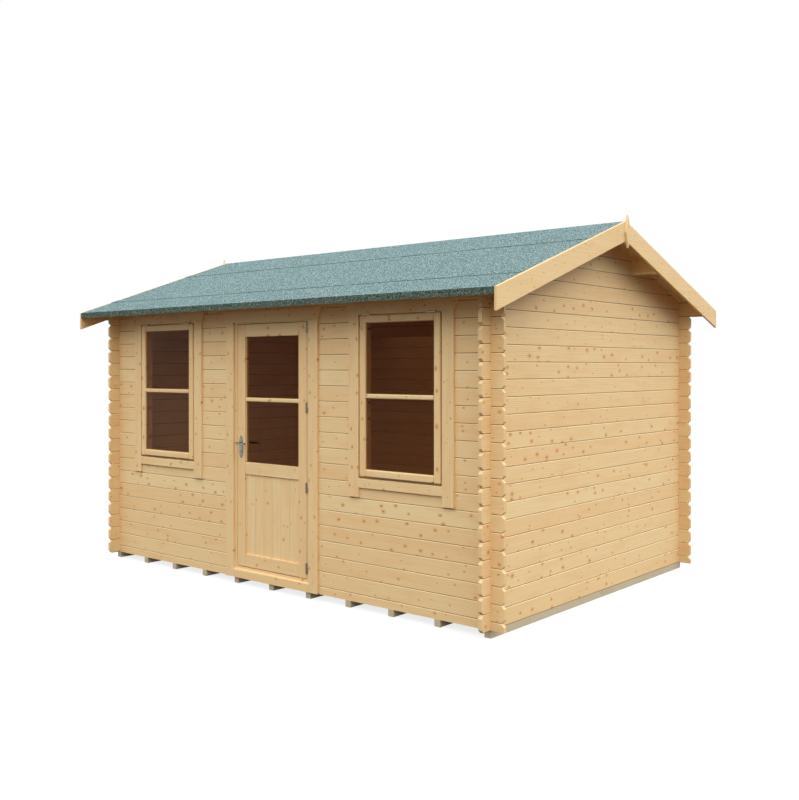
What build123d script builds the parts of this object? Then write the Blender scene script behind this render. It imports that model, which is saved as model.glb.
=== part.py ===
from build123d import *
from math import ceil, cos, radians, sqrt, tan
import os

"""
A log cabin with a felted gable roof, one half-glazed door and two top-hung windows.
X runs along the front, Y from front to back, Z up.
The origin is on the ground, in the middle of the footprint.
All sizes are in millimetres.
"""

# Bearers under the building
bearer_width = 50.0
bearer_height = 50.0
bearer_count = 11

# Walls of interlocking logs, measured over their outer faces
wall_length = 4120.0
wall_depth = 2850.0
log_thickness = 28.0
log_cover = 114.0
log_end = 100.0
end_chamfer = 22.0
seam_bevel = 3.0
eaves_log_height = 121.0

# Floor
floor_thickness = 19.0
floor_gap = 5.0

# Roof
roof_pitch = 19.25
eaves_overhang = 249.0
gable_overhang = 199.0
roof_board_thickness = 19.0
felt_thickness = 3.0
felt_skirt = 47.0
felt_lap = 75.0
felt_ramp = 20.0
felt_lap_run = 1366.0
ridge_felt_run = 526.0
beam_width = 45.0
beam_height = 140.0
beam_chamfer = 12.0
purlin_run = 545.0
bargeboard_thickness = 18.0
bargeboard_width = 140.0
bargeboard_rise = 4.0
finial_width = 64.0
finial_rise = 42.0
finial_upper = 127.0
finial_lower = 117.0

# Trims around the door and the windows
trim_thickness = 18.0
head_trim_height = 90.0
head_trim_splay = 35.0

# Door
leaf_width = 785.0
leaf_height = 1921.0
leaf_foot = 145.0
leaf_thickness = 40.0
door_clearance = 5.0
jamb_width = 45.0
jamb_reveal = 31.0
frame_head_reveal = 10.0
stop_width = 15.0
stop_depth = 25.0
door_trim_width = 92.0
stile_width = 88.0
top_rail = 98.0
middle_rail = 95.0
panel_height = 634.0
bottom_rail = 99.0
panel_thickness = 16.0
panel_recess = 12.0
sill_height = 71.0
sill_chamfer = 10.0

# Glass and glazing bars
glass_thickness = 4.0
door_glass_recess = 20.0
bar_height = 32.0
bar_depth = 14.0
bar_rounding = 9.0

# Door furniture
hinge_radius = 7.0
hinge_height = 78.0
hinge_stand_off = 8.0
hinge_gap = 0.4
pin_radius = 3.0
pin_clearance = 0.3
pin_length = 30.0
hinge_foot = 10.0
hinge_count = 4
lowest_hinge = 79.0
highest_hinge = 42.0
plate_width = 40.0
plate_height = 180.0
plate_straight = 84.0
plate_shoulder = 14.0
plate_thickness = 6.0
backset = 42.0
spindle_height = 977.0
spindle_above_plate = 29.5
spindle_radius = 4.2
spindle_clearance = 0.3
neck_radius = 9.0
neck_length = 48.0
lever_section = 16.0
lever_length = 104.0
lever_chamfer = 3.0

# Windows
window_spacing = 2612.0
window_first_seam = 7
window_frame_width = 788.0
window_frame_depth = 53.0
window_frame_recess = 17.0
window_post_width = 60.0
window_sill_height = 60.0
window_head_height = 80.0
window_trim_width = 96.0
window_trim_lap = 20.0
window_trim_drop = 68.0
head_trim_gap = 6.0
apron_height = 67.0
apron_gap = 13.0
sash_side_reveal = 32.0
sash_foot_reveal = 47.0
sash_head_reveal = 67.0
sash_thickness = 40.0
sash_stile = 55.0
sash_bottom_rail = 55.0
sash_top_rail = 52.0
window_glass_recess = 14.0
window_hinge_length = 76.0
window_hinge_radius = 6.0
window_hinge_inset = 72.0

# Levels and runs worked out from the sizes above
slope = tan(radians(roof_pitch))
board_rise = roof_board_thickness / cos(radians(roof_pitch))
felt_rise = felt_thickness / cos(radians(roof_pitch))
wall_foot = bearer_height
leaf_head = leaf_foot + leaf_height
frame_head_foot = leaf_head + door_clearance
door_opening_top = frame_head_foot + jamb_width
course_count = ceil((door_opening_top - wall_foot) / log_cover - 0.5)
long_seams = [wall_foot + log_cover * (course + 0.5) for course in range(course_count + 1)]
cross_seams = [wall_foot + log_cover * course for course in range(course_count + 2)]
wall_head = long_seams[-1]
eaves_level = wall_head + eaves_log_height
ridge_level = eaves_level + wall_depth / 2 * slope
eaves_run = wall_depth / 2 + eaves_overhang
roof_end = wall_length / 2 + gable_overhang
neck_height = log_cover / 2
corner_x = (wall_length - log_thickness) / 2
corner_y = (wall_depth - log_thickness) / 2
front_face = -wall_depth / 2
trim_face = front_face - trim_thickness

door_opening = leaf_width + 2 * (door_clearance + jamb_width)
door_trim_gap = leaf_width + 2 * (door_clearance + jamb_reveal)
door_head_trim_foot = frame_head_foot + frame_head_reveal
leaf_back = front_face + leaf_thickness
door_stop_face = leaf_back + door_clearance
frame_back = door_stop_face + stop_depth
middle_rail_foot = leaf_foot + bottom_rail + panel_height
hinge_spacing = (leaf_height - lowest_hinge - highest_hinge) / (hinge_count - 1)
hinge_levels = [leaf_foot + lowest_hinge + hinge_spacing * number for number in range(hinge_count)]
spindle_level = leaf_foot + spindle_height

window_opening_foot = long_seams[window_first_seam]
window_trim_inner = window_frame_width - 2 * window_trim_lap
sash_width = window_frame_width - 2 * sash_side_reveal
sash_foot = window_opening_foot + sash_foot_reveal
sash_head = wall_head - sash_head_reveal
sash_height = sash_head - sash_foot
sash_back = front_face + window_frame_recess
sash_face = sash_back - sash_thickness
window_frame_back = sash_back + window_frame_depth
window_head_trim_foot = sash_head + head_trim_gap
apron_top = sash_foot - apron_gap
window_side_trim_foot = apron_top - apron_height - window_trim_drop
window_centres = (-window_spacing / 2, window_spacing / 2)


def underside(run):
    """Height of the roof boards' underside, run millimetres out from the ridge."""
    return ridge_level - run * slope


def deck_top(run):
    """Height of the roof boards' upper face."""
    return underside(run) + board_rise


def front_plane(y):
    """A drawing plane at depth y, seen from the front; extrusions come towards the viewer."""
    return Plane(origin=(0, y, 0), x_dir=(1, 0, 0), z_dir=(0, -1, 0))


def side_plane(x):
    """A drawing plane at x, with Y across and Z up; extrusions go towards +X."""
    return Plane.YZ.offset(x)


os.makedirs("parts", exist_ok=True)


def save(builder, name):
    """Label a finished piece and write its STEP file."""
    builder.part.label = name
    export_step(builder.part, f"parts/{name}.step")


# Log outlines, seen square to the wall, with the corners of both ends cut off
with BuildSketch() as long_log:
    Rectangle(wall_length + 2 * log_end, log_cover)
    chamfer(long_log.vertices(), end_chamfer)

with BuildSketch() as long_half_log:
    Rectangle(wall_length + 2 * log_end, log_cover / 2)
    chamfer(long_half_log.vertices().group_by(Axis.Y)[-1], end_chamfer)

with BuildSketch() as cross_log:
    Rectangle(wall_depth + 2 * log_end, log_cover)
    chamfer(cross_log.vertices(), end_chamfer)


def seam_grooves(plane, faces, seams, reach):
    """The V-grooves along the seams, on both faces of a wall; plane looks along the logs."""
    side = seam_bevel * sqrt(2)
    with BuildPart() as grooves:
        with BuildSketch(plane):
            with Locations(*[(face, seam) for face in faces for seam in seams]):
                Rectangle(side, side, rotation=45)
        extrude(amount=reach, both=True)
    return grooves.part


def long_wall(back):
    """The notched logs of the front or back wall, up to the eaves log; back is the rear face."""
    with BuildPart() as wall:
        with BuildSketch(front_plane(back)):
            with Locations((0, wall_foot + log_cover / 4)):
                add(long_half_log.sketch)
            with Locations(*[(0, seam + log_cover / 2) for seam in long_seams[:-1]]):
                add(long_log.sketch)
            with Locations(*[(side * corner_x, seam) for side in (-1, 1) for seam in long_seams]):
                Rectangle(log_thickness, neck_height, mode=Mode.SUBTRACT)
        extrude(amount=log_thickness)
        add(
            seam_grooves(Plane.YZ, (back, back - log_thickness), long_seams, wall_length / 2 + log_end),
            mode=Mode.SUBTRACT,
        )
    return wall.part


def gable_wall(inner_x, beams):
    """The logs of a gable wall, up to the roof boards, let out for the beams that pass through."""
    top_seams = cross_seams[-1]
    with BuildPart() as wall:
        with BuildSketch(side_plane(inner_x)):
            with Locations(*[(0, seam + log_cover / 2) for seam in cross_seams[:-1]]):
                add(cross_log.sketch)
            with BuildLine():
                Polyline(
                    (-wall_depth / 2, top_seams),
                    (wall_depth / 2, top_seams),
                    (wall_depth / 2, eaves_level),
                    (0, ridge_level),
                    (-wall_depth / 2, eaves_level),
                    close=True,
                )
            make_face()
            with Locations(*[(side * corner_y, seam) for side in (-1, 1) for seam in cross_seams]):
                Rectangle(log_thickness, neck_height, mode=Mode.SUBTRACT)
        extrude(amount=log_thickness)
        gable_courses = ceil((ridge_level - wall_foot) / log_cover)
        seams = [wall_foot + log_cover * course for course in range(1, gable_courses)]
        add(
            seam_grooves(Plane.XZ, (inner_x, inner_x + log_thickness), seams, wall_depth / 2 + log_end),
            mode=Mode.SUBTRACT,
        )
        for beam in beams:
            add(beam, mode=Mode.SUBTRACT)
    return wall.part


def cut_regions(solid, back, regions):
    """The pieces of a front wall inside each region, given as (left, right, foot, head)."""
    with BuildPart() as pieces:
        with BuildSketch(front_plane(back)):
            for left, right, foot, head in regions:
                with Locations(((left + right) / 2, (foot + head) / 2)):
                    Rectangle(right - left, head - foot)
        extrude(amount=log_thickness)
        add(solid, mode=Mode.INTERSECT)
    return pieces


# Bearers, running from front to back, the outer two flush with the gable walls
with BuildPart() as floor_bearers:
    with BuildSketch():
        with GridLocations((wall_length - bearer_width) / (bearer_count - 1), 0, bearer_count, 1):
            Rectangle(bearer_width, wall_depth)
    extrude(amount=bearer_height)
save(floor_bearers, "floor_bearers")

# Floor between the walls, cut back around the door frame
with BuildPart() as floor_boards:
    inside_length = wall_length - 2 * (log_thickness + floor_gap)
    inside_depth = wall_depth - 2 * (log_thickness + floor_gap)
    with BuildSketch(Plane.XY.offset(wall_foot)):
        Rectangle(inside_length, inside_depth)
        with Locations((0, front_face)):
            recess = frame_back + floor_gap - front_face
            Rectangle(door_opening + 2 * floor_gap, 2 * recess, mode=Mode.SUBTRACT)
    extrude(amount=floor_thickness)
save(floor_boards, "floor_boards")

# Ridge beam and purlins, passing through both gables to the backs of the bargeboards
with BuildPart() as ridge_beam:
    with BuildSketch(side_plane(-roof_end)):
        with BuildLine():
            Polyline(
                (-beam_width / 2, ridge_level - beam_height),
                (beam_width / 2, ridge_level - beam_height),
                (beam_width / 2, underside(beam_width / 2)),
                (0, ridge_level),
                (-beam_width / 2, underside(beam_width / 2)),
                close=True,
            )
        make_face()
    extrude(amount=2 * roof_end)
    chamfer(ridge_beam.edges().filter_by(Axis.X).group_by(Axis.Z)[0], beam_chamfer)
save(ridge_beam, "ridge_beam")

with BuildPart() as purlins:
    upper_run = purlin_run - beam_width / 2
    lower_run = purlin_run + beam_width / 2
    purlin_foot = underside(upper_run) - beam_height
    with BuildSketch(side_plane(-roof_end)):
        for side in (-1, 1):
            with BuildLine():
                Polyline(
                    (side * upper_run, purlin_foot),
                    (side * lower_run, purlin_foot),
                    (side * lower_run, underside(lower_run)),
                    (side * upper_run, underside(upper_run)),
                    close=True,
                )
            make_face()
    extrude(amount=2 * roof_end)
    chamfer(purlins.edges().filter_by(Axis.X).group_by(Axis.Z)[0], beam_chamfer)
save(purlins, "purlins")

# Back wall and gable walls
with BuildPart() as back_wall:
    add(long_wall(wall_depth / 2))
save(back_wall, "back_wall")

beams = (ridge_beam.part, purlins.part)
with BuildPart() as right_gable_wall:
    add(gable_wall(wall_length / 2 - log_thickness, beams))
save(right_gable_wall, "right_gable_wall")

with BuildPart() as left_gable_wall:
    add(gable_wall(-wall_length / 2, beams))
save(left_gable_wall, "left_gable_wall")

# Front wall, its logs cut for the door and the two windows
front_back = front_face + log_thickness
front_logs = long_wall(front_back)
log_tip = wall_length / 2 + log_end
door_edge = door_opening / 2
window_near_edge = (window_spacing - window_frame_width) / 2
window_far_edge = (window_spacing + window_frame_width) / 2
over_door_seam = long_seams[-2]

front_low_logs = cut_regions(
    front_logs,
    front_back,
    [
        (-log_tip, -door_edge, wall_foot, window_opening_foot),
        (door_edge, log_tip, wall_foot, window_opening_foot),
    ],
)
save(front_low_logs, "front_low_logs")

front_corner_logs = cut_regions(
    front_logs,
    front_back,
    [
        (-log_tip, -window_far_edge, window_opening_foot, wall_head),
        (window_far_edge, log_tip, window_opening_foot, wall_head),
    ],
)
save(front_corner_logs, "front_corner_logs")

front_pier_logs = cut_regions(
    front_logs,
    front_back,
    [
        (-window_near_edge, -door_edge, window_opening_foot, over_door_seam),
        (door_edge, window_near_edge, window_opening_foot, over_door_seam),
    ],
)
save(front_pier_logs, "front_pier_logs")

front_over_door_log = cut_regions(
    front_logs,
    front_back,
    [
        (-window_near_edge, -door_edge, over_door_seam, wall_head),
        (-door_edge, door_edge, door_opening_top, wall_head),
        (door_edge, window_near_edge, over_door_seam, wall_head),
    ],
)
save(front_over_door_log, "front_over_door_log")

# Eaves logs, bevelled to the roof and running past the gables to the bargeboards
with BuildPart() as eaves_logs:
    inner_run = wall_depth / 2 - log_thickness
    with BuildSketch(side_plane(-roof_end)):
        for side in (-1, 1):
            with BuildLine():
                Polyline(
                    (side * wall_depth / 2, wall_head),
                    (side * inner_run, wall_head),
                    (side * inner_run, underside(inner_run)),
                    (side * wall_depth / 2, eaves_level),
                    close=True,
                )
            make_face()
    extrude(amount=2 * roof_end)
    notch_height = eaves_level + log_thickness - wall_head
    with BuildSketch(front_plane(wall_depth / 2)):
        with Locations((-corner_x, wall_head + notch_height / 2), (corner_x, wall_head + notch_height / 2)):
            Rectangle(log_thickness, notch_height)
        with Locations((-corner_x, cross_seams[-1]), (corner_x, cross_seams[-1])):
            Rectangle(log_thickness, neck_height, mode=Mode.SUBTRACT)
    extrude(amount=wall_depth, mode=Mode.SUBTRACT)
    outer_faces = (front_face, front_face + log_thickness, wall_depth / 2, wall_depth / 2 - log_thickness)
    add(seam_grooves(Plane.YZ, outer_faces, [wall_head], roof_end), mode=Mode.SUBTRACT)
save(eaves_logs, "eaves_logs")


def roof_boards(side):
    """The boards of one slope, from the ridge to the eaves; side is -1 at the front."""
    with BuildPart() as boards:
        with BuildSketch(side_plane(-roof_end)):
            with BuildLine():
                Polyline(
                    (0, ridge_level),
                    (0, deck_top(0)),
                    (side * eaves_run, deck_top(eaves_run)),
                    (side * eaves_run, underside(eaves_run)),
                    close=True,
                )
            make_face()
        extrude(amount=2 * roof_end)
    return boards


front_roof_boards = roof_boards(-1)
save(front_roof_boards, "front_roof_boards")
back_roof_boards = roof_boards(1)
save(back_roof_boards, "back_roof_boards")


def roofing_felt(side):
    """Two felt sheets of one slope, the upper lapped over the lower, which is turned down at the eaves."""
    lap_end = felt_lap_run - felt_lap
    ramp_run = lap_end - felt_ramp
    top_run = ridge_felt_run - felt_lap
    skirt_run = eaves_run + felt_thickness
    skirt_top = deck_top(eaves_run) + felt_rise
    with BuildPart() as felt:
        with BuildSketch(side_plane(-roof_end)):
            with BuildLine():
                Polyline(
                    (side * eaves_run, deck_top(eaves_run)),
                    (side * top_run, deck_top(top_run)),
                    (side * top_run, deck_top(top_run) + felt_rise),
                    (side * ramp_run, deck_top(ramp_run) + felt_rise),
                    (side * lap_end, deck_top(lap_end) + 2 * felt_rise),
                    (side * felt_lap_run, deck_top(felt_lap_run) + 2 * felt_rise),
                    (side * felt_lap_run, deck_top(felt_lap_run) + felt_rise),
                    (side * skirt_run, skirt_top),
                    (side * skirt_run, skirt_top - felt_skirt),
                    (side * eaves_run, skirt_top - felt_skirt),
                    close=True,
                )
            make_face()
        extrude(amount=2 * roof_end)
    return felt


front_roofing_felt = roofing_felt(-1)
save(front_roofing_felt, "front_roofing_felt")
back_roofing_felt = roofing_felt(1)
save(back_roofing_felt, "back_roofing_felt")

# Felt over the ridge, lapped over the upper sheet of both slopes
with BuildPart() as ridge_felt:
    lap_foot = ridge_felt_run - felt_lap
    ramp_foot = lap_foot - felt_ramp
    with BuildSketch(side_plane(-roof_end)):
        with BuildLine():
            Polyline(
                (-ridge_felt_run, deck_top(ridge_felt_run) + felt_rise),
                (-lap_foot, deck_top(lap_foot) + felt_rise),
                (-lap_foot, deck_top(lap_foot)),
                (0, deck_top(0)),
                (lap_foot, deck_top(lap_foot)),
                (lap_foot, deck_top(lap_foot) + felt_rise),
                (ridge_felt_run, deck_top(ridge_felt_run) + felt_rise),
                (ridge_felt_run, deck_top(ridge_felt_run) + 2 * felt_rise),
                (lap_foot, deck_top(lap_foot) + 2 * felt_rise),
                (ramp_foot, deck_top(ramp_foot) + felt_rise),
                (0, deck_top(0) + felt_rise),
                (-ramp_foot, deck_top(ramp_foot) + felt_rise),
                (-lap_foot, deck_top(lap_foot) + 2 * felt_rise),
                (-ridge_felt_run, deck_top(ridge_felt_run) + 2 * felt_rise),
                close=True,
            )
        make_face()
    extrude(amount=2 * roof_end)
save(ridge_felt, "ridge_felt")


def bargeboards(side):
    """The two bargeboards of one slope, one at each gable, cut plumb at both ends."""
    foot_run = eaves_run + felt_thickness
    depth = bargeboard_width / cos(radians(roof_pitch))
    with BuildPart() as boards:
        with BuildSketch(side_plane(-roof_end - bargeboard_thickness), side_plane(roof_end)):
            with BuildLine():
                Polyline(
                    (0, deck_top(0) + bargeboard_rise),
                    (side * foot_run, deck_top(foot_run) + bargeboard_rise),
                    (side * foot_run, deck_top(foot_run) + bargeboard_rise - depth),
                    (0, deck_top(0) + bargeboard_rise - depth),
                    close=True,
                )
            make_face()
        extrude(amount=bargeboard_thickness)
    return boards


front_bargeboards = bargeboards(-1)
save(front_bargeboards, "front_bargeboards")
back_bargeboards = bargeboards(1)
save(back_bargeboards, "back_bargeboards")

# Pointed finials over the joint of the bargeboards
with BuildPart() as finials:
    finial_face = roof_end + bargeboard_thickness
    finial_top = deck_top(0) + bargeboard_rise + finial_rise
    with BuildSketch(side_plane(-finial_face - bargeboard_thickness), side_plane(finial_face)):
        with BuildLine():
            Polyline(
                (0, finial_top - finial_upper - finial_lower),
                (finial_width / 2, finial_top - finial_upper),
                (0, finial_top),
                (-finial_width / 2, finial_top - finial_upper),
                close=True,
            )
        make_face()
    extrude(amount=bargeboard_thickness)
save(finials, "finials")

# Door frame: jambs with a stop, the head over them and the sill between them
with BuildPart() as door_jambs:
    with BuildSketch(Plane.XY.offset(wall_foot)):
        for side in (-1, 1):
            with BuildLine():
                Polyline(
                    (side * door_opening / 2, front_face),
                    (side * (door_opening / 2 - jamb_width), front_face),
                    (side * (door_opening / 2 - jamb_width), door_stop_face),
                    (side * (door_opening / 2 - jamb_width - stop_width), door_stop_face),
                    (side * (door_opening / 2 - jamb_width - stop_width), frame_back),
                    (side * door_opening / 2, frame_back),
                    close=True,
                )
            make_face()
    extrude(amount=frame_head_foot - wall_foot)
save(door_jambs, "door_jambs")

clear_width = door_opening - 2 * jamb_width
stop_gap = clear_width - 2 * stop_width
with BuildPart() as door_frame_head:
    with BuildSketch(Plane.XY.offset(frame_head_foot)):
        with Locations((0, (front_face + frame_back) / 2)):
            Rectangle(door_opening, frame_back - front_face)
    extrude(amount=jamb_width)
    with BuildSketch(Plane.XY.offset(frame_head_foot)):
        with Locations((0, (door_stop_face + frame_back) / 2)):
            Rectangle(stop_gap, stop_depth)
    extrude(amount=-stop_width)
save(door_frame_head, "door_frame_head")

with BuildPart() as door_sill:
    with BuildSketch(Plane.XY.offset(wall_foot)):
        with Locations((0, (trim_face + front_face) / 2)):
            Rectangle(door_trim_gap, trim_thickness)
    extrude(amount=sill_height)
    chamfer(door_sill.edges().filter_by(Axis.X).group_by(Axis.Z)[-1].sort_by(Axis.Y)[0], sill_chamfer)
    with BuildSketch(Plane.XY.offset(wall_foot)):
        with Locations((0, (front_face + door_stop_face) / 2)):
            Rectangle(clear_width, door_stop_face - front_face)
        with Locations((0, (door_stop_face + frame_back) / 2)):
            Rectangle(stop_gap, stop_depth)
    extrude(amount=leaf_foot - door_clearance - wall_foot)
    with BuildSketch(Plane.XY.offset(leaf_foot - door_clearance)):
        with Locations((0, (door_stop_face + frame_back) / 2)):
            Rectangle(stop_gap, stop_depth)
    extrude(amount=stop_width)
save(door_sill, "door_sill")


def head_trim(centres, width, foot):
    """Boards over openings, their ends splayed outward."""
    with BuildPart() as trims:
        with BuildSketch(front_plane(front_face)):
            for centre in centres:
                with BuildLine():
                    Polyline(
                        (centre - width / 2, foot),
                        (centre + width / 2, foot),
                        (centre + width / 2 + head_trim_splay, foot + head_trim_height),
                        (centre - width / 2 - head_trim_splay, foot + head_trim_height),
                        close=True,
                    )
                make_face()
        extrude(amount=trim_thickness)
    return trims


# Door trims
with BuildPart() as door_side_trims:
    trim_offset = (door_trim_gap + door_trim_width) / 2
    with BuildSketch(front_plane(front_face)):
        with Locations(*[(side * trim_offset, (wall_foot + door_head_trim_foot) / 2) for side in (-1, 1)]):
            Rectangle(door_trim_width, door_head_trim_foot - wall_foot)
    extrude(amount=trim_thickness)
save(door_side_trims, "door_side_trims")

door_head_trim = head_trim([0], door_trim_gap + 2 * door_trim_width, door_head_trim_foot)
save(door_head_trim, "door_head_trim")

# Door leaf: stiles and rails around a lower panel and a pane
stile_offset = (leaf_width - stile_width) / 2
rail_length = leaf_width - 2 * stile_width
spindle_x = -leaf_width / 2 + backset
bore_radius = spindle_radius + spindle_clearance
pane_foot = middle_rail_foot + middle_rail
pane_head = leaf_head - top_rail

with BuildPart() as door_stiles:
    with BuildSketch(front_plane(leaf_back)):
        with Locations(*[(side * stile_offset, leaf_foot + leaf_height / 2) for side in (-1, 1)]):
            Rectangle(stile_width, leaf_height)
        with Locations((spindle_x, spindle_level)):
            Circle(bore_radius, mode=Mode.SUBTRACT)
    extrude(amount=leaf_thickness)
save(door_stiles, "door_stiles")

with BuildPart() as door_rails:
    with BuildSketch(front_plane(leaf_back)):
        with Locations((0, leaf_head - top_rail / 2)):
            Rectangle(rail_length, top_rail)
        with Locations((0, middle_rail_foot + middle_rail / 2)):
            Rectangle(rail_length, middle_rail)
        with Locations((0, leaf_foot + bottom_rail / 2)):
            Rectangle(rail_length, bottom_rail)
    extrude(amount=leaf_thickness)
save(door_rails, "door_rails")

with BuildPart() as door_panel:
    panel_foot = leaf_foot + bottom_rail
    with BuildSketch(front_plane(front_face + panel_recess + panel_thickness)):
        with Locations((0, (panel_foot + middle_rail_foot) / 2)):
            Rectangle(rail_length, middle_rail_foot - panel_foot)
    extrude(amount=panel_thickness)
save(door_panel, "door_panel")

door_glass_face = front_face + door_glass_recess
with BuildPart() as door_glass:
    with BuildSketch(front_plane(door_glass_face + glass_thickness)):
        with Locations((0, (pane_foot + pane_head) / 2)):
            Rectangle(rail_length, pane_head - pane_foot)
    extrude(amount=glass_thickness)
save(door_glass, "door_glass")


def glazing_bars(centres, level, length, outer_glass_face):
    """Rounded bars across the panes, one on each side of the glass."""
    with BuildPart() as bars:
        for centre in centres:
            with BuildSketch(side_plane(centre - length / 2)):
                with Locations((outer_glass_face - bar_depth / 2, level)):
                    Rectangle(bar_depth, bar_height)
                with Locations((outer_glass_face + glass_thickness + bar_depth / 2, level)):
                    Rectangle(bar_depth, bar_height)
            extrude(amount=length)
        outer_edges = bars.edges().filter_by(Axis.X).group_by(Axis.Y)
        fillet(outer_edges[0] + outer_edges[-1], bar_rounding)
    return bars


door_glazing_bar = glazing_bars([0], (pane_foot + pane_head) / 2, rail_length, door_glass_face)
save(door_glazing_bar, "door_glazing_bar")

# Door hinges: the lower half of each stands on the jamb with its pin, the upper half hangs on the stile
hinge_x = leaf_width / 2 + door_clearance / 2
hinge_y = front_face - hinge_stand_off
half_hinge = hinge_height / 2


def hinge_halves(levels, foot_side):
    """Hinge barrels standing on the given levels, each with a foot on the wood beside it."""
    foot_edge = door_clearance / 2
    with BuildPart() as halves:
        for level in levels:
            with BuildSketch(Plane.XY.offset(level)):
                with Locations((hinge_x, hinge_y)):
                    Circle(hinge_radius)
                with BuildLine():
                    Polyline(
                        (hinge_x, hinge_y - hinge_radius / 2),
                        (hinge_x + foot_side * (foot_edge + hinge_foot), front_face),
                        (hinge_x + foot_side * foot_edge, front_face),
                        (hinge_x, hinge_y + hinge_radius / 2),
                        close=True,
                    )
                make_face()
            extrude(amount=half_hinge - hinge_gap / 2)
    return halves.part


with BuildPart() as door_hinge_pins:
    add(hinge_halves([level - half_hinge for level in hinge_levels], 1))
    for level in hinge_levels:
        with BuildSketch(Plane.XY.offset(level - hinge_gap / 2)):
            with Locations((hinge_x, hinge_y)):
                Circle(pin_radius)
        extrude(amount=pin_length)
save(door_hinge_pins, "door_hinge_pins")

with BuildPart() as door_hinge_knuckles:
    add(hinge_halves([level + hinge_gap / 2 for level in hinge_levels], -1))
    for level in hinge_levels:
        with BuildSketch(Plane.XY.offset(level)):
            with Locations((hinge_x, hinge_y)):
                Circle(pin_radius + pin_clearance)
        extrude(amount=pin_length + pin_clearance, mode=Mode.SUBTRACT)
save(door_hinge_knuckles, "door_hinge_knuckles")

# Door furniture: a long plate with arched ends on each face, and a pair of levers on one spindle
with BuildSketch() as plate_outline:
    with BuildLine() as plate_edge:
        shoulder_level = (plate_straight + plate_height) / 4
        Line((plate_width / 2, 0), (plate_width / 2, plate_straight / 2))
        ThreePointArc(
            (plate_width / 2, plate_straight / 2), (plate_shoulder, shoulder_level), (0, plate_height / 2)
        )
        mirror(about=Plane.YZ)
        mirror(about=Plane.XZ)
    make_face()

with BuildPart() as door_backplates:
    for back in (front_face, leaf_back + plate_thickness):
        with BuildSketch(front_plane(back)):
            with Locations((spindle_x, spindle_level - spindle_above_plate)):
                add(plate_outline.sketch)
            with Locations((spindle_x, spindle_level)):
                Circle(bore_radius, mode=Mode.SUBTRACT)
        extrude(amount=plate_thickness)
save(door_backplates, "door_backplates")

leaf_middle = front_face + leaf_thickness / 2
neck_foot = leaf_thickness / 2 + plate_thickness + spindle_clearance
lever_reach = neck_foot + neck_length
with BuildPart() as levers:
    with BuildSketch(side_plane(spindle_x - neck_radius)):
        with Locations(*[(leaf_middle + side * lever_reach, spindle_level) for side in (-1, 1)]):
            Rectangle(lever_section, lever_section)
    extrude(amount=lever_length + neck_radius)
    chamfer(levers.edges(), lever_chamfer)

with BuildPart() as door_handle:
    with BuildSketch(front_plane(leaf_middle)):
        with Locations((spindle_x, spindle_level)):
            Circle(spindle_radius)
    extrude(amount=lever_reach, both=True)
    for side in (-1, 1):
        with BuildSketch(front_plane(leaf_middle + side * neck_foot)):
            with Locations((spindle_x, spindle_level)):
                Circle(neck_radius)
        extrude(amount=-side * neck_length)
    add(levers.part)
save(door_handle, "door_handle")

# Window frames in their openings
post_offset = (window_frame_width - window_post_width) / 2
rail_span = window_frame_width - 2 * window_post_width
with BuildPart() as window_posts:
    with BuildSketch(front_plane(window_frame_back)):
        with Locations(*[
            (centre + side * post_offset, (window_opening_foot + wall_head) / 2)
            for centre in window_centres
            for side in (-1, 1)
        ]):
            Rectangle(window_post_width, wall_head - window_opening_foot)
    extrude(amount=window_frame_depth)
save(window_posts, "window_posts")

with BuildPart() as window_rails:
    with BuildSketch(front_plane(window_frame_back)):
        sill_level = window_opening_foot + window_sill_height / 2
        head_level = wall_head - window_head_height / 2
        with Locations(*[(centre, sill_level) for centre in window_centres]):
            Rectangle(rail_span, window_sill_height)
        with Locations(*[(centre, head_level) for centre in window_centres]):
            Rectangle(rail_span, window_head_height)
    extrude(amount=window_frame_depth)
save(window_rails, "window_rails")

# Window trims: two sides, a splayed head and an apron between the sides
with BuildPart() as window_side_trims:
    trim_offset = (window_trim_inner + window_trim_width) / 2
    with BuildSketch(front_plane(front_face)):
        with Locations(*[
            (centre + side * trim_offset, (window_side_trim_foot + window_head_trim_foot) / 2)
            for centre in window_centres
            for side in (-1, 1)
        ]):
            Rectangle(window_trim_width, window_head_trim_foot - window_side_trim_foot)
    extrude(amount=trim_thickness)
save(window_side_trims, "window_side_trims")

window_head_trims = head_trim(
    window_centres, window_trim_inner + 2 * window_trim_width, window_head_trim_foot
)
save(window_head_trims, "window_head_trims")

with BuildPart() as window_aprons:
    with BuildSketch(front_plane(front_face)):
        with Locations(*[(centre, apron_top - apron_height / 2) for centre in window_centres]):
            Rectangle(window_trim_inner, apron_height)
    extrude(amount=trim_thickness)
save(window_aprons, "window_aprons")

# Sashes, standing proud of the trims
sash_offset = (sash_width - sash_stile) / 2
sash_rail_length = sash_width - 2 * sash_stile
sash_pane_foot = sash_foot + sash_bottom_rail
sash_pane_head = sash_head - sash_top_rail

with BuildPart() as sash_stiles:
    with BuildSketch(front_plane(sash_back)):
        with Locations(*[
            (centre + side * sash_offset, sash_foot + sash_height / 2)
            for centre in window_centres
            for side in (-1, 1)
        ]):
            Rectangle(sash_stile, sash_height)
    extrude(amount=sash_thickness)
save(sash_stiles, "sash_stiles")

with BuildPart() as sash_rails:
    with BuildSketch(front_plane(sash_back)):
        with Locations(*[(centre, sash_foot + sash_bottom_rail / 2) for centre in window_centres]):
            Rectangle(sash_rail_length, sash_bottom_rail)
        with Locations(*[(centre, sash_head - sash_top_rail / 2) for centre in window_centres]):
            Rectangle(sash_rail_length, sash_top_rail)
    extrude(amount=sash_thickness)
save(sash_rails, "sash_rails")

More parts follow.
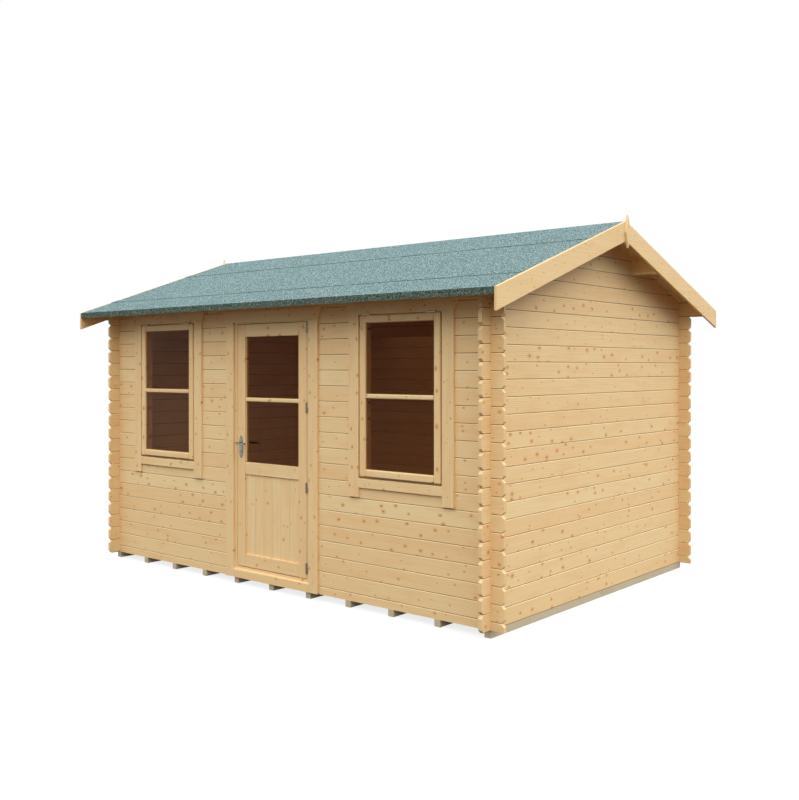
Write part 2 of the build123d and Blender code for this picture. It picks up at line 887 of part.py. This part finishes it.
window_glass_face = sash_face + window_glass_recess
with BuildPart() as window_panes:
    with BuildSketch(front_plane(window_glass_face + glass_thickness)):
        with Locations(*[(centre, (sash_pane_foot + sash_pane_head) / 2) for centre in window_centres]):
            Rectangle(sash_rail_length, sash_pane_head - sash_pane_foot)
    extrude(amount=glass_thickness)
save(window_panes, "window_panes")

sash_bar_level = (sash_pane_foot + sash_pane_head) / 2
sash_glazing_bars = glazing_bars(window_centres, sash_bar_level, sash_rail_length, window_glass_face)
save(sash_glazing_bars, "sash_glazing_bars")

# Window hinge barrels along the head of each sash
with BuildPart() as window_hinges:
    window_hinge_offset = sash_width / 2 - window_hinge_inset
    for centre in window_centres:
        for side in (-1, 1):
            with BuildSketch(side_plane(centre + side * window_hinge_offset - window_hinge_length / 2)):
                with Locations((trim_face - window_hinge_radius, sash_head + window_hinge_radius)):
                    Circle(window_hinge_radius)
            extrude(amount=window_hinge_length)
save(window_hinges, "window_hinges")
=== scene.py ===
"""
The log cabin's finishes, small fittings, light and camera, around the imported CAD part.
Everything is in metres in the part's own frame: X along the front, Y from front to back, Z up.
"""

from math import cos, pi, radians, sin

import bmesh
import bpy
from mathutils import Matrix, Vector


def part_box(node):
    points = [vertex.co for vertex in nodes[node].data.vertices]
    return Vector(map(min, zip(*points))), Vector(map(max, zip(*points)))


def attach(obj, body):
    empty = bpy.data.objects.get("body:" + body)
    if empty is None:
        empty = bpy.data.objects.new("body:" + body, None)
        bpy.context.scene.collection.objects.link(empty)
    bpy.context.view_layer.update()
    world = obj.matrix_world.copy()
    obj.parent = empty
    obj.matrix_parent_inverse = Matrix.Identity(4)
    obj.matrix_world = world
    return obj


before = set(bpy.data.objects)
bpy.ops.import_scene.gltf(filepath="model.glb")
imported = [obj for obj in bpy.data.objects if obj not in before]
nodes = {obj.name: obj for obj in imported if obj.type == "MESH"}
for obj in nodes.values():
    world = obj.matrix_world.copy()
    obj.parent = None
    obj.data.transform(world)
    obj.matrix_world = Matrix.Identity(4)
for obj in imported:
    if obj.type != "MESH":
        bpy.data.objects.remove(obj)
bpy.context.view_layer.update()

# The camera that was fitted to the photograph, which is this many pixels high
PHOTO_HEIGHT = 800
FOCAL_PIXELS = 962.4
HORIZON_ROW = 366.8
CAMERA_PLACE = (5.564, -6.476, 1.730)
CAMERA_TURN = radians(40.17)
SENSOR = 36.0

# Timber sizes that set the pattern of the boards; a cell of ONE_PIECE cuts nothing
LOG_COVER = 0.114
ROOF_BOARD_WIDTH = 0.11
FLOOR_BOARD_WIDTH = 0.096
PANEL_BOARD_WIDTH = 0.0975
BEARER_SPACING = 0.405
BEAM_SPACING = 0.6
BEARER_START = -0.2
LEVEL_BAND = 0.4
LEVEL_START = 0.3
ONE_PIECE = 100.0
WINDOW_OFFSET = 1.306
DOOR_TRIM_WIDTH = 0.092
WINDOW_TRIM_WIDTH = 0.096

# Widths of the dark lines between boards, which on the logs and at the sash's foot are painted shade, and of
# the painted highlight under a log's line
ROOF_JOINT = 0.003
FLOOR_JOINT = 0.002
PANEL_JOINT = 0.0014
SASH_FOOT_SHADE = 0.009
NEAR_LOGS = {"joints": 0.0075, "lit": 0.0062}
FAR_LOGS = {"knots": 0.5, "joints": 0.006, "lit": 0.004}

# Knots, and the growth rings on the faces and on the sawn ends
KNOT_CELL = (0.13, 0.058)
KNOT_STRETCH = 0.7
KNOT_RADIUS = 0.0074
CELLS_WITHOUT_KNOT = 0.24
RING_WIDTH = 0.013
END_RING_WIDTH = 0.0055
END_RING_CENTRE = (0, 0.21, 0.13)

# Axis numbers
X, Y, Z = 0, 1, 2


def linear(red, green, blue):
    """A colour given as it looks on screen, 0 to 255, as Blender's linear colour."""
    return tuple(((c / 255 + 0.055) / 1.055) ** 2.4 for c in (red, green, blue)) + (1.0,)


CREAM = linear(242, 208, 151)
HONEY = linear(225, 180, 117)
WARM = linear(234, 185, 126)
PALE = linear(244, 220, 163)
KNOT_STAIN = linear(222, 156, 90)
KNOT_CORE = linear(206, 128, 62)
KNOT_RIM = linear(184, 104, 46)
# Dark joints between boards and painted shade under each log's lower edge; painted highlight on each log's
# top edge
SEAM_SHADE = linear(118, 60, 16)
SEAM_HIGHLIGHT = linear(255, 226, 172)
AGED = linear(168, 166, 146)
FELT_DEEP = linear(70, 98, 96)
FELT_CLOUD = linear(76, 103, 101)
FELT_DARK_CHIP = linear(34, 52, 52)
FELT_GREY_CHIP = linear(128, 156, 150)
FELT_PALE_CHIP = linear(180, 202, 194)
FELT_TURNED_DOWN_SHADE = linear(214, 200, 178)
NICKEL = linear(140, 137, 126)
ZINC = linear(146, 130, 108)
RUBBED = linear(120, 112, 100)
GLASS_TINT = linear(240, 230, 218)
WHITE = linear(255, 255, 255)


class Graph:
    """Short calls that add nodes to one material or node group."""

    def __init__(self, tree):
        self.tree = tree

    def add(self, kind, inputs=None, **settings):
        """A node of that kind; inputs maps socket names or numbers to sockets or values."""
        node = self.tree.nodes.new(kind)
        for name, value in settings.items():
            setattr(node, name, value)
        for name, value in (inputs or {}).items():
            self.feed(node.inputs[name], value)
        return node

    def feed(self, socket, value):
        """Links a socket to an input, or sets the input's own value."""
        if isinstance(value, bpy.types.NodeSocket):
            self.tree.links.new(value, socket)
        else:
            socket.default_value = value

    def math(self, operation, first, second=0.0, third=0.0):
        return self.add("ShaderNodeMath", {0: first, 1: second, 2: third}, operation=operation).outputs[0]

    def times(self, first, second):
        return self.math("MULTIPLY", first, second)

    def vector(self, operation, first, second=(0, 0, 0)):
        node = self.add("ShaderNodeVectorMath", {0: first, 1: second}, operation=operation)
        return node.outputs["Value"] if operation in ("LENGTH", "DOT_PRODUCT") else node.outputs[0]

    def split(self, vector):
        return self.add("ShaderNodeSeparateXYZ", {0: vector}).outputs

    def join(self, x, y, z):
        return self.add("ShaderNodeCombineXYZ", {0: x, 1: y, 2: z}).outputs[0]

    def fade(self, value, low, high, to_low=0.0, to_high=1.0):
        """value carried from low..high to to_low..to_high with soft ends."""
        inputs = {"Value": value, "From Min": low, "From Max": high, "To Min": to_low, "To Max": to_high}
        return self.add("ShaderNodeMapRange", inputs, interpolation_type="SMOOTHSTEP").outputs[0]

    def mix(self, factor, first, second, blend="MIX"):
        inputs = {0: factor, 6: first, 7: second}
        return self.add("ShaderNodeMix", inputs, data_type="RGBA", blend_type=blend).outputs[2]

    def noise(self, vector, scale=1.0, detail=3.0, roughness=0.5):
        inputs = {"Vector": vector, "Scale": scale, "Detail": detail, "Roughness": roughness}
        return self.add("ShaderNodeTexNoise", inputs).outputs[0]

    def bump(self, height, distance, strength=1.0):
        inputs = {"Height": height, "Distance": distance, "Strength": strength}
        return self.add("ShaderNodeBump", inputs).outputs[0]


def material(name):
    """A new material, its graph and its empty surface socket."""
    made = bpy.data.materials.new(name)
    made.use_nodes = True
    made.node_tree.nodes.clear()
    graph = Graph(made.node_tree)
    return made, graph, graph.add("ShaderNodeOutputMaterial")


def principled(graph, output, **inputs):
    """The Principled shader on the output; underscores in the names stand for spaces."""
    named = {name.replace("_", " "): value for name, value in inputs.items()}
    shader = graph.add("ShaderNodeBsdfPrincipled", named)
    graph.feed(output.inputs["Surface"], shader.outputs[0])
    return shader


def make_spruce_group():
    """Sawn spruce: growth rings, streaks and knots, on coordinates along, across and through the board."""
    group = bpy.data.node_groups.new("spruce", "ShaderNodeTree")
    for name, kind in (("Place", "Vector"), ("Board", "Vector"), ("End", "Float"), ("Knots", "Float")):
        group.interface.new_socket(name, in_out="INPUT", socket_type=f"NodeSocket{kind}")
    for name, kind in (("Color", "Color"), ("Height", "Float"), ("Roughness", "Float")):
        group.interface.new_socket(name, in_out="OUTPUT", socket_type=f"NodeSocket{kind}")
    g = Graph(group)
    given = g.add("NodeGroupInput").outputs
    board = g.split(given["Board"])
    place = g.vector("ADD", given["Place"], g.vector("MULTIPLY", given["Board"], (31, 17, 23)))
    along, across, through = g.split(place)[:3]

    # Knots: one at most in each cell, many cells with none
    spread = g.vector("DIVIDE", g.join(along, across, 0.0), (*KNOT_CELL, 1))
    cells = g.add("ShaderNodeTexVoronoi", {"Vector": spread, "Scale": 1.0}, voronoi_dimensions="2D")
    from_knot = g.vector("SUBTRACT", spread, cells.outputs["Position"])
    offset = g.vector("MULTIPLY", from_knot, (KNOT_CELL[0] * KNOT_STRETCH, KNOT_CELL[1], 0))
    away = g.vector("LENGTH", offset)
    chance = g.split(cells.outputs["Color"])
    knottiness = g.times(given["Knots"], g.fade(board[2], 0.15, 0.9, 0.5, 1.2))
    size = g.times(g.fade(chance[0], CELLS_WITHOUT_KNOT, 1.0, 0.0, KNOT_RADIUS), knottiness)
    edge = g.math("ADD", size, 0.0001)
    core = g.fade(away, edge, g.times(edge, 0.5))
    core = g.times(core, g.fade(size, 0.0008, 0.0022))
    stain = g.times(g.fade(away, g.times(edge, 2.8), edge), g.fade(size, 0.0008, 0.003))

    # Growth rings and streaks, bent round the knots
    wander = g.noise(g.join(g.times(along, 1.3), g.times(across, 7.0), through), detail=2.0)
    bend = g.times(g.split(offset)[1], g.times(stain, -0.8))
    bent = g.math("ADD", g.math("MULTIPLY_ADD", wander, 0.035, across), bend)
    streak_place = g.join(g.times(along, 2.2), g.times(bent, 130.0), g.times(through, 60.0))
    streaks = g.noise(streak_place, detail=5.0, roughness=0.62)
    rings = g.math("SINE", g.times(bent, 2 * pi / RING_WIDTH))
    rings = g.math("POWER", g.math("MULTIPLY_ADD", rings, 0.5, 0.5), 2.0)
    grain = g.math("ADD", g.times(streaks, 0.75), g.times(rings, 0.25))
    fibre = g.noise(g.join(g.times(along, 25.0), g.times(bent, 900.0), through), detail=2.0)

    # Arcs of the rings on sawn ends
    centre = g.vector("ADD", g.join(0.0, across, through), END_RING_CENTRE)
    arcs = g.math("SINE", g.times(g.vector("LENGTH", centre), 2 * pi / END_RING_WIDTH))
    arcs = g.math("MULTIPLY_ADD", arcs, 0.5, 0.5)

    blotch = g.noise(g.join(g.times(along, 2.6), g.times(across, 11.0), through), detail=2.0)
    face = g.mix(g.fade(grain, 0.3, 0.9), CREAM, HONEY)
    face = g.mix(g.times(g.fade(board[0], 0.0, 1.0), 0.32), face, WARM)
    face = g.mix(g.times(g.fade(board[1], 0.35, 1.0), 0.32), face, PALE)
    face = g.mix(g.times(g.fade(blotch, 0.45, 0.75), 0.5), face, WARM)
    face = g.mix(g.times(stain, 0.6), face, KNOT_STAIN)
    face = g.mix(core, face, g.mix(g.fade(away, g.times(edge, 0.3), edge), KNOT_CORE, KNOT_RIM))
    ends = g.mix(arcs, HONEY, CREAM)
    shown = g.add("NodeGroupOutput")
    g.feed(shown.inputs["Color"], g.mix(given["End"], face, ends))
    height = g.math("ADD", g.times(grain, 0.6), g.times(fibre, 0.4))
    g.feed(shown.inputs["Height"], g.math("SUBTRACT", height, g.times(core, 0.3)))
    g.feed(shown.inputs["Roughness"], g.math("MULTIPLY_ADD", grain, 0.2, 0.45))
    return group


spruce_group = make_spruce_group()


def spruce(
    name, along, across, cell=(ONE_PIECE,) * 3, shift=(0, 0, 0), seed=0.0,
    knots=1.0, joints=0.0, lit=0.0, tint=None,
):
    """
    Spruce with its grain along one axis and its boards side by side across another.
    cell and shift say where one board ends and the next starts; the joint width is that of the dark lines
    between them, painted shade on the logs and at the sash's foot, and lit that of the painted highlight
    under each line.
    """
    made, g, output = material(name)
    source = g.add("ShaderNodeTexCoord")
    place = g.split(source.outputs["Object"])
    normal = g.split(source.outputs["Normal"])
    through = X + Y + Z - along - across
    boards = g.vector("DIVIDE", g.vector("SUBTRACT", source.outputs["Object"], shift), cell)
    number = g.vector("ADD", g.vector("FLOOR", boards), (seed, seed * 2, seed * 3))
    chance = g.add("ShaderNodeTexWhiteNoise", {"Vector": number}).outputs["Color"]
    end = g.fade(g.math("ABSOLUTE", normal[along]), 0.75, 0.95)
    board_place = g.join(place[along], place[across], place[through])
    inputs = {"Place": board_place, "Board": chance, "End": end, "Knots": knots}
    wood = g.add("ShaderNodeGroup", node_tree=spruce_group)
    for socket, value in inputs.items():
        g.feed(wood.inputs[socket], value)
    colour = wood.outputs["Color"]
    height = wood.outputs["Height"]
    if joints:
        # Dark line along the foot of each board: a dark joint between boards, painted shade under each log's
        # lower edge and at the sash's foot
        above = g.times(g.math("FRACT", g.split(boards)[across]), cell[across])
        line = g.fade(above, joints, joints * 0.4)
        colour = g.mix(g.times(line, 0.8), colour, SEAM_SHADE)
        if lit:
            # Painted highlight along the top edge of each log, under the line above it
            edge = g.fade(g.math("SUBTRACT", cell[across], above), lit, lit * 0.4)
            colour = g.mix(g.times(edge, 0.9), colour, SEAM_HIGHLIGHT)
    if tint:
        colour = g.mix(0.65, colour, tint)
    principled(
        g, output, Base_Color=colour, Roughness=wood.outputs["Roughness"], Normal=g.bump(height, 0.0006, 0.6),
        Specular_IOR_Level=0.3,
    )
    return made


def felt():
    """Mineral felt: green-grey chips, some light and some dark, with painted shade on the faces that turn
    down.
    """
    made, g, output = material("mineral_felt")
    source = g.add("ShaderNodeTexCoord")
    chips = g.add("ShaderNodeTexVoronoi", {"Vector": source.outputs["Object"], "Scale": 230.0})
    clumps = g.add("ShaderNodeTexVoronoi", {"Vector": source.outputs["Object"], "Scale": 150.0})
    chance = g.split(chips.outputs["Color"])[0]
    coarse = g.split(clumps.outputs["Color"])[0]
    cloud = g.noise(source.outputs["Object"], scale=3.0, detail=4.0)
    colour = g.mix(g.fade(cloud, 0.3, 0.7), FELT_DEEP, FELT_CLOUD)
    colour = g.mix(g.times(g.fade(coarse, 0.1, 0.4, 1.0, 0.0), 0.75), colour, FELT_DARK_CHIP)
    colour = g.mix(g.times(g.fade(coarse, 0.7, 0.9), 0.75), colour, FELT_GREY_CHIP)
    colour = g.mix(g.times(g.fade(chance, 0.78, 0.9), 0.8), colour, FELT_PALE_CHIP)
    # Painted shade on the felt where its faces turn down over the eaves and verges
    facing_down_shade = g.fade(g.split(source.outputs["Normal"])[Z], 0.8, 0.3)
    colour = g.mix(facing_down_shade, colour, FELT_TURNED_DOWN_SHADE, "MULTIPLY")
    height = g.math("ADD", chance, g.times(cloud, 3.0))
    principled(
        g, output, Base_Color=colour, Roughness=g.fade(chance, 0.0, 1.0, 0.75, 0.95),
        Normal=g.bump(height, 0.0012, 0.7), Specular_IOR_Level=0.3,
    )
    return made


def metal(name, colour, roughness):
    """Metal with fine rubbed marks."""
    made, g, output = material(name)
    source = g.add("ShaderNodeTexCoord")
    marks = g.noise(g.vector("MULTIPLY", source.outputs["Object"], (400, 400, 40)), detail=4.0)
    smudge = g.noise(source.outputs["Object"], scale=35.0, detail=3.0)
    wear = g.math("ADD", marks, smudge)
    principled(
        g, output, Base_Color=g.mix(g.times(smudge, 0.25), colour, RUBBED), Metallic=1.0,
        Roughness=g.fade(wear, 0.6, 1.5, roughness - 0.08, roughness + 0.12),
        Normal=g.bump(marks, 0.00008, 0.5),
    )
    return made


def glass():
    """Thin clear glass: see-through, with a clean surface shine."""
    made, g, output = material("clear_glass")
    source = g.add("ShaderNodeTexCoord")
    waver = g.noise(source.outputs["Object"], scale=2.5, detail=1.0)
    clear = g.add("ShaderNodeBsdfTransparent", {"Color": GLASS_TINT})
    surface = {"Color": WHITE, "Roughness": 0.02, "Normal": g.bump(waver, 0.002, 0.15)}
    shine = g.add("ShaderNodeBsdfGlossy", surface)
    amount = g.add("ShaderNodeFresnel", {"IOR": 1.1}).outputs[0]
    both = g.add("ShaderNodeMixShader", {0: amount, 1: clear.outputs[0], 2: shine.outputs[0]})
    g.feed(output.inputs["Surface"], both.outputs[0])
    return made


long_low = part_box("back_wall")[0][Z] - LOG_COVER / 2
cross_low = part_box("right_gable_wall")[0][Z]
sash_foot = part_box("sash_rails")[0][Z]
log_cell = (ONE_PIECE, ONE_PIECE, LOG_COVER)
long_start = (ONE_PIECE / 2, 0, long_low)
cross_start = (0, ONE_PIECE / 2, cross_low)
upright_cell = (WINDOW_OFFSET, ONE_PIECE, ONE_PIECE)
level_cell = (WINDOW_OFFSET * 2, ONE_PIECE, LEVEL_BAND)
level_start = (WINDOW_OFFSET * 1.5, 0, LEVEL_START)
sash_cell = (WINDOW_OFFSET * 2, ONE_PIECE, ONE_PIECE)
sash_start = (WINDOW_OFFSET * 1.5, 0, sash_foot)
beam_cell = (ONE_PIECE, BEAM_SPACING, ONE_PIECE)
beam_start = (ONE_PIECE / 2, BEAM_SPACING / 2, 0)
end_start = (0.1, 0, 0)

front_logs = spruce("front_logs", X, Z, log_cell, long_start, 1, **NEAR_LOGS)
back_logs = spruce("back_logs", X, Z, log_cell, long_start, 2, **FAR_LOGS)
right_logs = spruce("right_gable_logs", Y, Z, log_cell, cross_start, 3, **NEAR_LOGS)
left_logs = spruce("left_gable_logs", Y, Z, log_cell, cross_start, 4, **FAR_LOGS)
roof_wood = spruce("roof_boarding", Y, X, (ROOF_BOARD_WIDTH, ONE_PIECE, ONE_PIECE), seed=5, joints=ROOF_JOINT)
floor_wood = spruce(
    "floor_boarding", X, Y, (ONE_PIECE, FLOOR_BOARD_WIDTH, ONE_PIECE), seed=6, joints=FLOOR_JOINT
)
panel_wood = spruce(
    "panel_boarding", Z, X, (PANEL_BOARD_WIDTH, ONE_PIECE, ONE_PIECE), seed=7, knots=0.85, joints=PANEL_JOINT
)
upright_wood = spruce("upright_timber", Z, X, upright_cell, seed=8)
upright_trim = spruce("upright_trim", Z, X, upright_cell, seed=9)
level_wood = spruce("level_timber", X, Z, level_cell, level_start, 10)
level_trim = spruce("level_trim", X, Z, level_cell, level_start, 11, knots=0.8)
barge_wood = spruce("bargeboard_timber", Y, Z, shift=end_start, seed=12)
beam_wood = spruce("beam_timber", X, Z, beam_cell, beam_start, 13)
finial_wood = spruce("finial_timber", Z, Y, shift=end_start, seed=14, knots=0.3)
bearer_cell = (BEARER_SPACING, ONE_PIECE, ONE_PIECE)
bearer_wood = spruce("treated_timber", Y, X, bearer_cell, (BEARER_START, 0, 0), 15, knots=0.8, tint=AGED)
# Painted shade along the lowest few millimetres of the sash rails, where the sash overhangs the apron
sash_wood_shaded_foot = spruce("sash_rail_timber_shaded_foot", X, Z, sash_cell, sash_start, 16, knots=0.7, joints=SASH_FOOT_SHADE)
felt_sheet = felt()
nickel = metal("satin_nickel", NICKEL, 0.3)
steel = metal("zinc_steel", ZINC, 0.5)
clear_glass = glass()

FINISHES = {
    front_logs: (
        "front_low_logs", "front_corner_logs", "front_pier_logs", "front_over_door_log", "eaves_logs",
    ),
    back_logs: ("back_wall",),
    right_logs: ("right_gable_wall",),
    left_logs: ("left_gable_wall",),
    roof_wood: ("front_roof_boards", "back_roof_boards"),
    floor_wood: ("floor_boards",),
    panel_wood: ("door_panel",),
    upright_wood: ("door_jambs", "door_stiles", "window_posts", "sash_stiles"),
    upright_trim: ("door_side_trims", "window_side_trims"),
    level_wood: (
        "door_frame_head", "door_sill", "door_rails", "window_rails", "door_glazing_bar", "sash_glazing_bars",
    ),
    sash_wood_shaded_foot: ("sash_rails",),
    level_trim: ("door_head_trim", "window_head_trims", "window_aprons"),
    barge_wood: ("front_bargeboards", "back_bargeboards"),
    beam_wood: ("ridge_beam", "purlins"),
    finial_wood: ("finials",),
    bearer_wood: ("floor_bearers",),
    felt_sheet: ("front_roofing_felt", "back_roofing_felt", "ridge_felt"),
    nickel: ("door_handle", "door_backplates"),
    steel: ("door_hinge_pins", "door_hinge_knuckles", "window_hinges"),
    clear_glass: ("door_glass", "window_panes"),
}
for finish, names in FINISHES.items():
    for name in names:
        nodes[name].data.materials.clear()
        nodes[name].data.materials.append(finish)

# Eased edges on the planed boards, rounder on the sashes
EASED = {
    0.010: ("sash_stiles", "sash_rails"),
    0.007: ("door_rails",),
    0.003: ("front_bargeboards", "back_bargeboards", "finials", "window_aprons"),
    0.002: ("door_side_trims", "window_side_trims", "door_head_trim", "window_head_trims", "floor_bearers"),
}
SAME_CORNER = 0.0001
EASED_ANGLE = radians(40)
for width, names in EASED.items():
    for name in names:
        nodes[name].modifiers.new("joined_corners", "WELD").merge_threshold = SAME_CORNER
        eased = nodes[name].modifiers.new("eased_edges", "BEVEL")
        eased.width = width
        eased.segments = 3
        eased.limit_method = "ANGLE"
        eased.angle_limit = EASED_ANGLE


def turned_pieces(name, body, finish, places, profile, sides=16):
    """
    Round pieces in one mesh, each at a place with a facing.
    profile lists radius and height, out from the place.
    """
    mesh = bmesh.new()
    for place, facing in places:
        turn = Vector(facing).to_track_quat("Z", "X")
        rings = []
        for radius, rise in profile:
            angles = [2 * pi * n / sides for n in range(sides)]
            corners = [(radius * cos(angle), radius * sin(angle), rise) for angle in angles]
            rings.append([mesh.verts.new(Vector(place) + turn @ Vector(corner)) for corner in corners])
        for inner, outer in zip(rings, rings[1:]):
            for n in range(sides):
                mesh.faces.new((inner[n], inner[(n + 1) % sides], outer[(n + 1) % sides], outer[n]))
        mesh.faces.new(rings[-1])
        mesh.faces.new(reversed(rings[0]))
    data = bpy.data.meshes.new(name)
    mesh.to_mesh(data)
    mesh.free()
    data.materials.append(finish)
    piece = bpy.data.objects.new(name, data)
    bpy.context.scene.collection.objects.link(piece)
    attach(piece, body)


def screw(radius):
    """The outline of a flat screw head with a socket, its foot sunk in the wood."""
    foot = (radius * 0.5, -0.002)
    rim = (radius, 0.0002)
    crown = (radius * 0.86, 0.0008)
    socket_edge = (radius * 0.42, 0.0009)
    socket_floor = (radius * 0.3, 0.0003)
    return [foot, rim, crown, socket_edge, socket_floor]


def spaced(low, high, count, inset):
    """count places from low to high, the outer two set in from the ends."""
    return [low + inset + (high - low - 2 * inset) * n / (count - 1) for n in range(count)]


FRONT, REAR = (0, -1, 0), (0, 1, 0)
LEFT, RIGHT = (-1, 0, 0), (1, 0, 0)
SCREW_RADIUS = 0.0032
PLATE_SCREW_INSET = 0.014
LOCK_HEIGHT = 0.052
LOCK_BARREL = [(0.0085, -0.001), (0.0085, 0.0035), (0.0075, 0.0045), (0.0022, 0.0045), (0.0014, 0.002)]
LEVEL_SCREW_INSET = 0.1
BARGE_MIDDLE = 0.074
BARGE_SCREW_RUNS = (0.14, 0.545, 1.0, 1.41)
BARGE_SCREW_SPREAD = 0.03
FINIAL_SCREW_SPREAD = 0.035

# Plate screws and lock barrels on both faces of the door
plate_low, plate_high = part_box("door_backplates")
plate_x = (plate_low[X] + plate_high[X]) / 2
plate_faces = ((plate_low[Y], FRONT), (plate_high[Y], REAR))
plate_levels = (plate_low[Z] + PLATE_SCREW_INSET, plate_high[Z] - PLATE_SCREW_INSET)
plate_screws = [((plate_x, y, level), facing) for y, facing in plate_faces for level in plate_levels]
turned_pieces("plate_screws", "door", steel, plate_screws, screw(SCREW_RADIUS))
lock_level = plate_low[Z] + LOCK_HEIGHT
lock_places = [((plate_x, y, lock_level), facing) for y, facing in plate_faces]
turned_pieces("lock_barrels", "door", nickel, lock_places, LOCK_BARREL, 24)

# Screws through the trims, the bargeboards and the finials
trim_screws = []
door_centre = (0,)
window_centres = (-WINDOW_OFFSET, WINDOW_OFFSET)
for name, centres, width, count, inset in (
    ("door_side_trims", door_centre, DOOR_TRIM_WIDTH, 6, 0.08),
    ("window_side_trims", window_centres, WINDOW_TRIM_WIDTH, 4, 0.07),
):
    low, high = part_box(name)
    reach = high[X] - width / 2 - centres[-1]
    for centre in centres:
        for x in (centre - reach, centre + reach):
            trim_screws += [((x, low[Y], z), FRONT) for z in spaced(low[Z], high[Z], count, inset)]
for name, centres, count in (
    ("door_head_trim", door_centre, 4),
    ("window_head_trims", window_centres, 4),
    ("window_aprons", window_centres, 3),
):
    low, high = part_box(name)
    reach = high[X] - centres[-1]
    for centre in centres:
        level = (low[Z] + high[Z]) / 2
        runs = spaced(centre - reach, centre + reach, count, LEVEL_SCREW_INSET)
        trim_screws += [((x, low[Y], level), FRONT) for x in runs]
turned_pieces("trim_screws", "cabin", steel, trim_screws, screw(SCREW_RADIUS), 12)

barge_low, barge_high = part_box("front_bargeboards")
roof_fall = (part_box("ridge_felt")[1][Z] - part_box("front_roof_boards")[0][Z]) / -barge_low[Y]
barge_screws = []
for x, facing in ((barge_low[X], LEFT), (barge_high[X], RIGHT)):
    for run in BARGE_SCREW_RUNS:
        for side in (-1, 1):
            middle = barge_high[Z] - BARGE_MIDDLE - run * roof_fall
            rises = (-BARGE_SCREW_SPREAD, BARGE_SCREW_SPREAD)
            barge_screws += [((x, side * run, middle + rise), facing) for rise in rises]
turned_pieces("barge_screws", "cabin", steel, barge_screws, screw(SCREW_RADIUS), 12)
finial_low, finial_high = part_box("finials")
finial_middle = (finial_low[Z] + finial_high[Z]) / 2
finial_screws = [
    ((x, 0, finial_middle + rise), facing)
    for x, facing in ((finial_low[X], LEFT), (finial_high[X], RIGHT))
    for rise in (-FINIAL_SCREW_SPREAD, FINIAL_SCREW_SPREAD)
]
turned_pieces("finial_screws", "cabin", steel, finial_screws, screw(SCREW_RADIUS), 12)

# Floor and light: an even sky over a floor that looks white and throws little light back
SKY_EDGE = 0.45
SKY_RING = 2.42
SKY_TOP = 1.75
SKY_COLOUR = (0.96, 1.0, 1.08, 1.0)
RIGHT_SIDE_GAIN = 0.18
FLOOR_SIZE = 120
FLOOR_BOUNCE = 0.03
FLOOR_SHADE = 0.2
FLOOR_GLOW = 0.8
ROOM_GLOW = 1.65
ROOM_LAMP_SIZE = 2.4
ROOM_LAMP_COLOUR = (1.0, 0.72, 0.56)
ROOM_LAMP_PLACE = (0, 0.2, 2.05)


def seen_directly(graph):
    """1 for what the camera sees, also through glass or in metal."""
    path = graph.add("ShaderNodeLightPath").outputs
    mirrored = graph.math("MAXIMUM", path["Is Glossy Ray"], path["Is Transmission Ray"])
    return graph.math("MAXIMUM", path["Is Camera Ray"], mirrored)


bpy.ops.mesh.primitive_plane_add(size=FLOOR_SIZE)
floor = bpy.context.object
floor.name = "floor"
made, g, output = material("studio_floor")
seen = seen_directly(g)
shade = g.mix(seen, (FLOOR_BOUNCE,) * 3 + (1,), (FLOOR_SHADE,) * 3 + (1,))
matt = g.add("ShaderNodeBsdfDiffuse", {"Color": shade})
glow = g.add("ShaderNodeEmission", {"Color": (1, 1, 1, 1), "Strength": g.times(seen, FLOOR_GLOW)})
both = g.add("ShaderNodeAddShader", {0: matt.outputs[0], 1: glow.outputs[0]})
g.feed(output.inputs["Surface"], both.outputs[0])
floor.data.materials.append(made)

world = bpy.context.scene.world or bpy.data.worlds.new("studio")
bpy.context.scene.world = world
world.use_nodes = True
world.node_tree.nodes.clear()
g = Graph(world.node_tree)
direction = g.split(g.add("ShaderNodeTexCoord").outputs["Generated"])
rising = g.fade(direction[Z], 0.1, 0.6, SKY_EDGE, SKY_RING)
falling = g.fade(direction[Z], 0.6, 1.0, 1.0, SKY_TOP / SKY_RING)
sideways = g.math("MULTIPLY_ADD", direction[X], RIGHT_SIDE_GAIN, 1.0)
glow = g.times(g.times(rising, falling), sideways)
seen = seen_directly(g)
strength = g.math("ADD", seen, g.times(g.math("SUBTRACT", 1.0, seen), glow))
sky = g.add("ShaderNodeBackground", {"Color": g.mix(seen, SKY_COLOUR, (1, 1, 1, 1)), "Strength": strength})
g.feed(g.add("ShaderNodeOutputWorld").inputs["Surface"], sky.outputs[0])


def sun(name, strength, softness, elevation, azimuth):
    """A soft far lamp; azimuth 0 shines on the front, 90 on the right gable."""
    lamp = bpy.data.lights.new(name, "SUN")
    lamp.energy = strength
    lamp.angle = radians(softness)
    holder = bpy.data.objects.new(name, lamp)
    holder.rotation_euler = (radians(90 - elevation), 0, radians(azimuth))
    bpy.context.scene.collection.objects.link(holder)


sun("key", strength=0.34, softness=50, elevation=50, azimuth=75)

# Light thrown about inside the timber room
room = bpy.data.lights.new("room", "AREA")
room.energy = ROOM_GLOW
room.size = ROOM_LAMP_SIZE
room.color = ROOM_LAMP_COLOUR
room_lamp = bpy.data.objects.new("room", room)
room_lamp.location = ROOM_LAMP_PLACE
bpy.context.scene.collection.objects.link(room_lamp)

camera = bpy.data.cameras.new("camera")
camera.sensor_width = SENSOR
camera.lens = FOCAL_PIXELS * SENSOR / PHOTO_HEIGHT
camera.shift_y = (HORIZON_ROW - PHOTO_HEIGHT / 2) / PHOTO_HEIGHT
holder = bpy.data.objects.new("camera", camera)
holder.location = CAMERA_PLACE
holder.rotation_euler = (radians(90), 0, CAMERA_TURN)
bpy.context.scene.collection.objects.link(holder)
bpy.context.scene.camera = holder

bpy.context.scene.view_settings.view_transform = "Standard"
